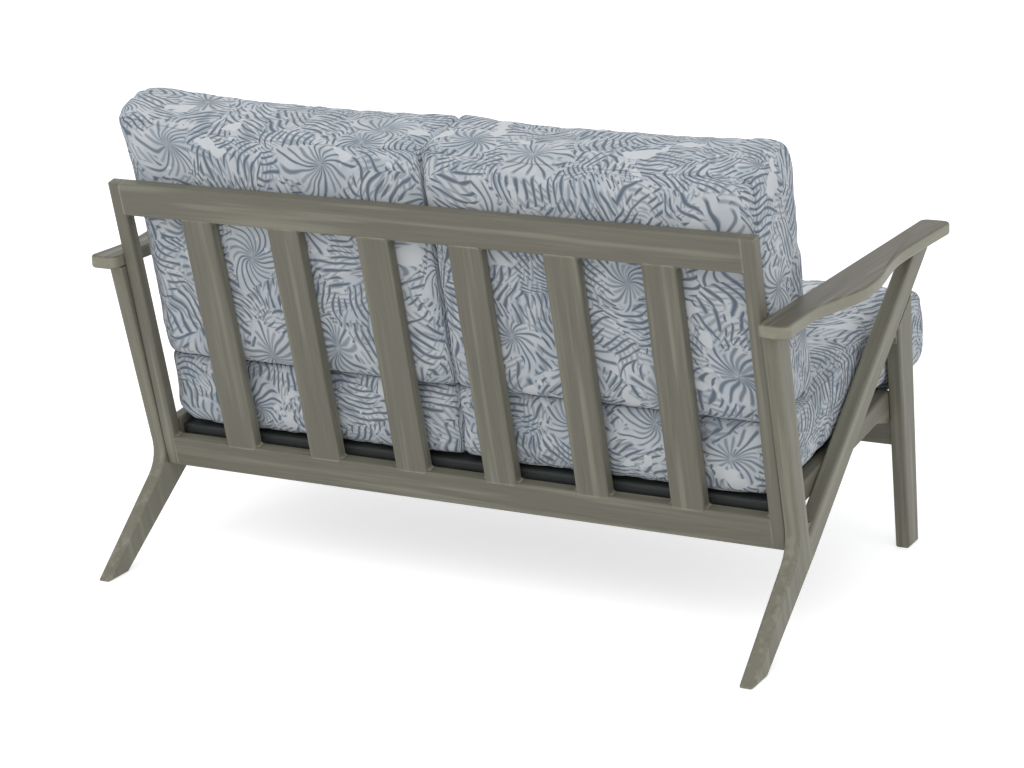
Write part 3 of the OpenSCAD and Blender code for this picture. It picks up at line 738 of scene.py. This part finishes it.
def fill_with_cloth(made, loops, pressure, frames):
    """Swells the cover against its seams and returns where its points end."""
    held = made.vertex_groups.new(name="seams")
    held.add([v for loop in loops for v in loop], 1.0, "REPLACE")
    filling = made.modifiers.new("filling", "CLOTH")
    cloth = filling.settings
    cloth.quality = 5
    cloth.mass = 0.25
    cloth.tension_stiffness = cloth.compression_stiffness = 18
    cloth.shear_stiffness = 8
    cloth.bending_stiffness = 0.6
    cloth.vertex_group_mass = "seams"
    cloth.use_pressure = True
    cloth.uniform_pressure_force = pressure
    cloth.shrink_min = -0.022
    cloth.effector_weights.gravity = 0
    filling.collision_settings.use_collision = False
    scene = bpy.context.scene
    for step in range(1, frames + 1):
        scene.frame_set(step)
    seen = made.evaluated_get(bpy.context.evaluated_depsgraph_get())
    ends = np.zeros(len(seen.data.vertices) * 3)
    seen.data.vertices.foreach_get("co", ends)
    made.modifiers.remove(filling)
    made.vertex_groups.remove(held)
    scene.frame_set(1)
    return ends.reshape(-1, 3)


def filled_cover(size, draw, pitch, seed, matched):
    """Points of a stuffed cover at full size: crowned, drawn in at its seams, with soft folds."""
    slack, most_swell, stand_out = 0.0025, 0.012, 0.0005
    pucker_pitch, pucker_run, pucker_high = 0.034, 0.020, 0.0012
    hollow_pitch, hollow_run, hollow_deep = 0.30, 0.05, 0.0022
    seam_run, seam_deep = 0.006, 0.0006
    unit, quads, flat, loops = cover_grid(size, pitch, matched)
    start = drawn_in(unit, size, draw) * (1 - 2 * slack / np.array(size))
    ends = start
    trial = mesh_object("cover_trial", start, quads, flat, None)
    ends = fill_with_cloth(trial, loops, pressure=3.0, frames=16)
    bpy.data.meshes.remove(trial.data)
    reach = np.linalg.norm(ends - start, axis=1, keepdims=True)
    ends = start + (ends - start) * np.minimum(1, most_swell / np.maximum(reach, 1e-9))
    gaps = seam_gaps(start, loops)
    half = np.array(size) / 2
    out = start / half
    out /= np.linalg.norm(out, axis=1, keepdims=True)
    # Short puckers run in from the seams, and long soft hollows cross the panels
    pucker = smooth_noise(start, seed + 1, pucker_pitch) * np.exp(-gaps / pucker_run) * pucker_high
    hollow = smooth_noise(start, seed + 2, hollow_pitch) * np.minimum(gaps / hollow_run, 1) * hollow_deep
    pull = np.exp(-((gaps / seam_run) ** 2)) * -seam_deep
    ends = ends + out * (pucker + hollow + pull)[:, None]
    over = crowned(ends / (half + stand_out))
    ends = np.where(over[:, None] > 1, ends / over[:, None], ends)
    return ends, quads, flat, gaps


def pressed(points, level, press):
    """Points whose underside is pressed flat where it rests."""
    rise, left = points[:, 2] - level, 0.1
    points[:, 2] = level + rise * (rising(rise, 0, press) ** 1.5 * (1 - left) + left)
    return points


def cushion_object(name, points, quads, flat, gaps, offset, material, matrix, mirrored):
    """One cushion cover, placed by its matrix, with its seam distances kept for the finish."""
    shape = points.copy()
    rings = quads
    places = np.array(flat, float)
    if mirrored:
        shape[:, 0] *= -1
        rings = [ring[::-1] for ring in quads]
        places = places[:, ::-1]
    made = mesh_object(name, shape, rings, places + np.array(offset), material)
    keep_distances(made, "seam_gap", gaps)
    made.data.transform(matrix)
    made.data.update()
    smooth = made.modifiers.new("even", "SUBSURF")
    smooth.levels = smooth.render_levels = 1
    return made


def cushion_pair(kind, size, seed, middle, aside, skew, tuck, settings):
    """The left and right cushions of the seat or the back, each riding on its own body."""
    draw, press, uneven, uneven_pitch = 0.004, 0.004, 0.0015, 0.22
    material = bpy.data.materials.get("printed_cloth") or printed_cloth(settings)
    points, quads, flat, gaps = filled_cover(size, draw, settings.mesh_pitch, seed, int(kind == "seat"))
    points = pressed(points, -size[2] / 2, press)
    for side, sign in (("left", 1), ("right", -1)):
        own = smooth_noise(points, seed + 20 + sign, uneven_pitch) * uneven
        out = points / np.linalg.norm(points, axis=1, keepdims=True)
        shape = points + out * (own - uneven)[:, None] * np.where(points[:, 2:] > 0, 1, 0)
        shape = settled(squared(shape, size, kind), size, skew, tuck)
        shape = full_corners(shape, size, kind, sign)
        name = "%s_cushion_%s" % (kind, side)
        matrix = middle @ Matrix.Translation((sign * (size[0] + settings.split) / 2 - aside, 0, 0))
        # Each cushion is cut from its own place on the printed cloth
        offset = (0.37 * seed + 0.9 * sign, 0.23 * seed - 0.6 * sign)
        made = cushion_object(name + "_cover", shape, quads, flat, gaps, offset, material, matrix, sign < 0)
        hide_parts(name)
        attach(made, "%s_%s" % (kind, side))


# Sling


def sling_path():
    """The sling's upper face from the side, in the seat's own frame: up the front, back over the battens
    and down the rear. Returns its points and how far along the cloth each one lies."""
    front, rear, top = -0.5153, -0.0091, -0.0004
    drop, hem, corner, steps = 0.0225, 0.0135, 0.003, 60
    arc = [math.radians(a) for a in range(0, 91, 15)]
    end = [(0, drop), (0, hem)] + [(corner * (1 - math.cos(a)), corner * (1 - math.sin(a))) for a in arc]
    path = [(front + y, top - z) for y, z in end]
    path += [(front + corner + (rear - front - 2 * corner) * i / steps, top) for i in range(1, steps)]
    path += [(rear - y, top - z) for y, z in reversed(end)]
    line = np.array(path)
    return line, np.concatenate([[0], np.cumsum(np.linalg.norm(np.diff(line, axis=0), axis=1))])


def sling_mesh(half, line, run):
    """Points, quads, flat places and hem distances of the sling: two faces joined round their rim."""
    thick, columns, turned_down, rim_flat = 0.0022, 72, 9, 0.002
    ripple, waves_across, waves_along = 0.0003, 41, 26
    along = np.gradient(line, axis=0)
    along /= np.linalg.norm(along, axis=1, keepdims=True)
    inward = np.stack([along[:, 1], -along[:, 0]], axis=1)
    xs = np.linspace(-half, half, columns + 1)
    rows, wide = len(line), columns + 1
    points, quads, flat, hems = [], [], [], []
    for layer in (0, 1):
        base = len(points)
        for r in range(rows):
            y, z = line[r] + inward[r] * (thick * layer)
            level = turned_down <= r < rows - turned_down
            for x in xs:
                sag = ripple * math.sin(x * waves_across) * math.sin(run[r] * waves_along) - ripple
                points.append((x, y, z + (sag if level else 0)))
                hems.append(min(half - abs(x), run[r], run[-1] - run[r]))
        for r in range(rows - 1):
            for c in range(columns):
                low, high = base + r * wide + c, base + (r + 1) * wide + c
                ring = [low, low + 1, high + 1, high]
                spot = [(xs[c], run[r]), (xs[c + 1], run[r]), (xs[c + 1], run[r + 1]), (xs[c], run[r + 1])]
                if layer:
                    ring, spot = ring[::-1], spot[::-1]
                quads.append(ring)
                flat.append(spot)
    back = rows * wide
    rim = [r * wide for r in range(rows)] + [(rows - 1) * wide + c for c in range(1, wide)]
    rim += [r * wide + columns for r in range(rows - 2, -1, -1)] + list(range(columns - 1, 0, -1))
    for a, b in zip(rim, rim[1:] + rim[:1]):
        quads.append([a, b, b + back, a + back])
        flat.append([(0, 0), (rim_flat, 0), (rim_flat, rim_flat), (0, rim_flat)])
    return np.array(points), quads, flat, hems


# Stage


def studio_floor(scene, settings):
    """Wide pale floor that looks white and keeps the sofa's shadow."""
    reach, glow = 60.0, 0.60
    mesh = bpy.data.meshes.new("studio_floor")
    corners = [(-reach, -reach, 0), (reach, -reach, 0), (reach, reach, 0), (-reach, reach, 0)]
    mesh.from_pydata(corners, [], [(0, 1, 2, 3)])
    floor = bpy.data.objects.new("studio_floor", mesh)
    scene.collection.objects.link(floor)
    material, tree, shader = new_material("studio_floor")
    paths = tree.nodes.new("ShaderNodeLightPath").outputs
    bright = times(tree, calc(tree, "MAXIMUM", paths["Is Camera Ray"], paths["Is Glossy Ray"]), glow)
    tint = place(tree, "ShaderNodeCombineColor", {0: bright, 1: bright, 2: bright})
    feed(tree, shader, {
        "Base Color": tuple(settings.floor_colour), "Roughness": 1.0, "Specular IOR Level": 0.0,
        "Emission Color": tint.outputs[0], "Emission Strength": 1.0})
    mesh.materials.append(material)


def studio_world(scene, strength):
    """Even light from all round, with plain white behind the sofa."""
    world = bpy.data.worlds.new("studio")
    scene.world = world
    world.use_nodes = True
    tree = world.node_tree
    tree.nodes.clear()
    paths = tree.nodes.new("ShaderNodeLightPath").outputs
    seen = calc(tree, "MAXIMUM", paths["Is Camera Ray"], paths["Is Transmission Ray"])
    even = place(tree, "ShaderNodeBackground", {"Color": (0.97, 0.985, 1.0, 1.0), "Strength": strength})
    white = place(tree, "ShaderNodeBackground", {"Color": (1, 1, 1, 1), "Strength": 1.0})
    mix = place(tree, "ShaderNodeMixShader", {0: seen, 1: even.outputs[0], 2: white.outputs[0]})
    place(tree, "ShaderNodeOutputWorld", {"Surface": mix.outputs[0]})


def studio_lamps(scene, strength):
    """Three soft lamps: their share of the strength, their spread in degrees and the way to each."""
    for name, share, spread, way in (
        ("lamp_overhead", 0.38, 50, (0.0, 0.80, 1.0)),
        ("lamp_side", 0.15, 40, (-1.0, 0.35, 0.50)),
        ("lamp_front", 0.30, 70, (0.5, -1.0, 0.4)),
    ):
        lamp = bpy.data.lights.new(name, "SUN")
        lamp.energy = strength * share
        lamp.angle = math.radians(spread)
        holder = bpy.data.objects.new(name, lamp)
        holder.rotation_mode = "QUATERNION"
        holder.rotation_quaternion = Vector(way).to_track_quat("Z", "Y")
        holder.location = Vector(way) * 4
        scene.collection.objects.link(holder)


def rear_view(scene):
    """Camera behind the sofa's right, a little above it."""
    yaw, pitch, roll = 0.499651, 0.292478, -0.0375555
    aside, up_by, away = 0.0150099, -0.0506051, 5.2731256
    aim_high, focal, picture_wide = 0.4, 2846.4724, 1024
    turn = math.pi + yaw
    back = Vector((math.sin(turn) * math.cos(pitch), -math.cos(turn) * math.cos(pitch), math.sin(pitch)))
    right = Vector((0, 0, 1)).cross(back).normalized()
    upward = back.cross(right)
    level = right * math.cos(roll) + upward * math.sin(roll)
    plumb = upward * math.cos(roll) - right * math.sin(roll)
    spot = Vector((0, SHIFT, aim_high)) + right * aside + upward * up_by + back * away
    eye = bpy.data.cameras.new("camera")
    eye.sensor_width = 36
    eye.lens = focal / picture_wide * eye.sensor_width
    eye.clip_start, eye.clip_end = 0.05, 200
    holder = bpy.data.objects.new("camera", eye)
    holder.matrix_world = Matrix((
        (level.x, plumb.x, back.x, spot.x), (level.y, plumb.y, back.y, spot.y),
        (level.z, plumb.z, back.z, spot.z), (0, 0, 0, 1)))
    scene.collection.objects.link(holder)
    scene.camera = holder


# Operators


class SOFA_OT_timber(bpy.types.Operator):
    """Paint the boards of the frame, with the grain along each board"""

    bl_idname = "sofa.timber"
    bl_label = "Paint Frame"

    def execute(self, context):
        settings = context.scene.sofa_timber
        # The rear legs and braces get a paler copy of the paint and the arms a darker one: painted light
        # and painted shade
        plain, side, arm = settings.paint, settings.lit_frame_paint, settings.shaded_arm_paint
        runs = {
            "timber_across": (ACROSS, (1, 0, 0), plain),
            "timber_panel": (UP_PANEL, (0, math.sin(RECLINE), math.cos(RECLINE)), plain),
            "timber_rear_leg": (REAR_LEGS, (0, 0.23, 1), side),
            "timber_front_leg": (FRONT_LEGS, (0, 0.11, 1), plain),
            "timber_brace": (BRACES, (0, -1, 0.748), side),
            "timber_arm": (ARMS, (0, 1, 0), arm),
            "timber_seat": (ALONG_SEAT, (0, math.cos(RAKE), -math.sin(RAKE)), plain),
        }
        for name, (nodes, grain, paint) in runs.items():
            # Only the arms get the painted side light on their upright faces
            painted_side_light = 0.65 if nodes is ARMS else 0.0
            material = painted_timber(name, grain, settings, paint, painted_side_light)
            for node in nodes:
                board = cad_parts[node]
                for slot in board.material_slots:
                    slot.material = material
        return {"FINISHED"}


class SOFA_OT_sling(bpy.types.Operator):
    """Stretch the black sling over the battens, turned down at both ends"""

    bl_idname = "sofa.sling"
    bl_label = "Make Sling"

    def execute(self, context):
        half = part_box("seat_sling")[1].x
        line, run = sling_path()
        points, quads, flat, hems = sling_mesh(half, line, run)
        material = sling_cloth(context.scene.sofa_cloth)
        made = mesh_object("sling_cloth_sheet", points, quads, flat, material)
        keep_distances(made, "hem_gap", hems)
        made.data.transform(SEAT_FRAME)
        made.data.update()
        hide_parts("seat_sling")
        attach(made, "frame")
        return {"FINISHED"}


class SOFA_OT_seat_cushions(bpy.types.Operator):
    """Make the two loose seat cushions"""

    bl_idname = "sofa.seat_cushions"
    bl_label = "Make Seat Cushions"

    def execute(self, context):
        cloth = context.scene.sofa_cloth
        size = (cloth.seat_width, cloth.seat_depth, cloth.seat_thick)
        ahead = -cloth.seat_depth / 2 - REST_GAP
        middle = SEAT_FRAME @ Matrix.Translation((0, ahead, cloth.seat_thick / 2))
        cushion_pair("seat", size, 3, middle, aside=0, skew=0, tuck=0.026, settings=cloth)
        return {"FINISHED"}


class SOFA_OT_back_cushions(bpy.types.Operator):
    """Make the two loose back cushions"""

    bl_idname = "sofa.back_cushions"
    bl_label = "Make Back Cushions"

    def execute(self, context):
        cloth = context.scene.sofa_cloth
        size = (cloth.back_width, cloth.back_high, cloth.back_thick)
        lean = RECLINE - RAKE
        low = (SEAT_ORIGIN.z - PANEL_ORIGIN.z - PANEL_THICK * math.sin(RECLINE)) / math.cos(RECLINE)
        low += cloth.seat_thick / math.cos(lean) - CROWN + BACK_RISE
        out = PANEL_THICK + REST_GAP + cloth.back_thick / 2
        middle = PANEL_FRAME @ Matrix.Rotation(math.radians(90), 4, "X")
        middle = middle @ Matrix.Translation((0, low + cloth.back_high / 2, out))
        cushion_pair("back", size, 11, middle, aside=0.009, skew=-math.tan(lean), tuck=0, settings=cloth)
        return {"FINISHED"}


class SOFA_OT_stage(bpy.types.Operator):
    """Set up the pale floor, the soft light and the camera"""

    bl_idname = "sofa.stage"
    bl_label = "Set Up Stage"

    def execute(self, context):
        scene = context.scene
        settings = scene.sofa_stage
        studio_floor(scene, settings)
        studio_world(scene, settings.sky_strength)
        studio_lamps(scene, settings.lamp_strength)
        rear_view(scene)
        scene.view_settings.view_transform = "Standard"
        return {"FINISHED"}


class SOFA_PT_steps(bpy.types.Panel):
    """The steps that dress the sofa, with the sizes and colours that they use"""

    bl_idname = "SOFA_PT_steps"
    bl_label = "Slatted Sofa"
    bl_space_type = "VIEW_3D"
    bl_region_type = "UI"
    bl_category = "Sofa"

    def draw(self, context):
        layout = self.layout
        scene = context.scene
        for step in STEPS:
            layout.operator(step.bl_idname)
        for group in (scene.sofa_timber, scene.sofa_cloth, scene.sofa_stage):
            box = layout.box()
            for key in type(group).__annotations__:
                box.prop(group, key)


STEPS = (SOFA_OT_timber, SOFA_OT_sling, SOFA_OT_seat_cushions, SOFA_OT_back_cushions, SOFA_OT_stage)
SETTINGS = {
    "sofa_timber": SofaTimberSettings,
    "sofa_cloth": SofaClothSettings,
    "sofa_stage": SofaStageSettings,
}


def register():
    for group in SETTINGS.values():
        bpy.utils.register_class(group)
    for key, group in SETTINGS.items():
        setattr(bpy.types.Scene, key, bpy.props.PointerProperty(type=group))
    for step in (*STEPS, SOFA_PT_steps):
        bpy.utils.register_class(step)


def unregister():
    for step in (SOFA_PT_steps, *reversed(STEPS)):
        bpy.utils.unregister_class(step)
    for key, group in SETTINGS.items():
        delattr(bpy.types.Scene, key)
        bpy.utils.unregister_class(group)


def main():
    """Dress the frame and set the stage."""
    register()
    bpy.ops.sofa.timber()
    bpy.ops.sofa.sling()
    bpy.ops.sofa.seat_cushions()
    bpy.ops.sofa.back_cushions()
    bpy.ops.sofa.stage()


if __name__ == "__main__":
    main()
